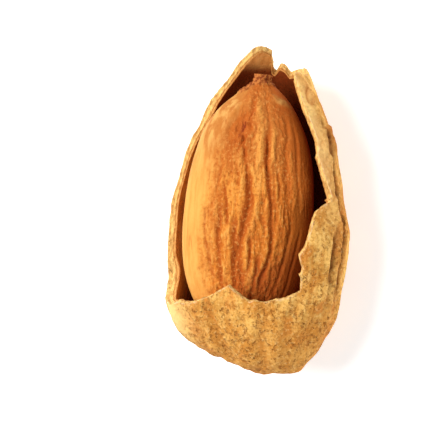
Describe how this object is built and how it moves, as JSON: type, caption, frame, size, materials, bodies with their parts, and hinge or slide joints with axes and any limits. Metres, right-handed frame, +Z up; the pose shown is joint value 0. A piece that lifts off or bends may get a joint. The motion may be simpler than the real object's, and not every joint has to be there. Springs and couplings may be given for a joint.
{
  "type": "almond",
  "caption": "Almond lying on its back in its dry shell, the front broken open in a tall pointed window that shows the wrinkled kernel, with a cup of shell left round the base.",
  "frame": {"origin": "middle of the small flat on the shell's back that the nut rests on", "axes": "+Y along the nut to the pointed tip, +Z up out of the broken window, X from seam to seam"},
  "size_m": [0.0198, 0.034, 0.0128],
  "materials": {
    "dry_shell": "matt, pitted and fluted, dry and woody, pale yellow-tan, red-brown inside",
    "seed_skin": "matt, finely wrinkled and powdery, orange-brown seed coat"
  },
  "bodies": {
    "root": {"shell": "dry_shell", "kernel": "seed_skin"}
  },
  "joints": []
}
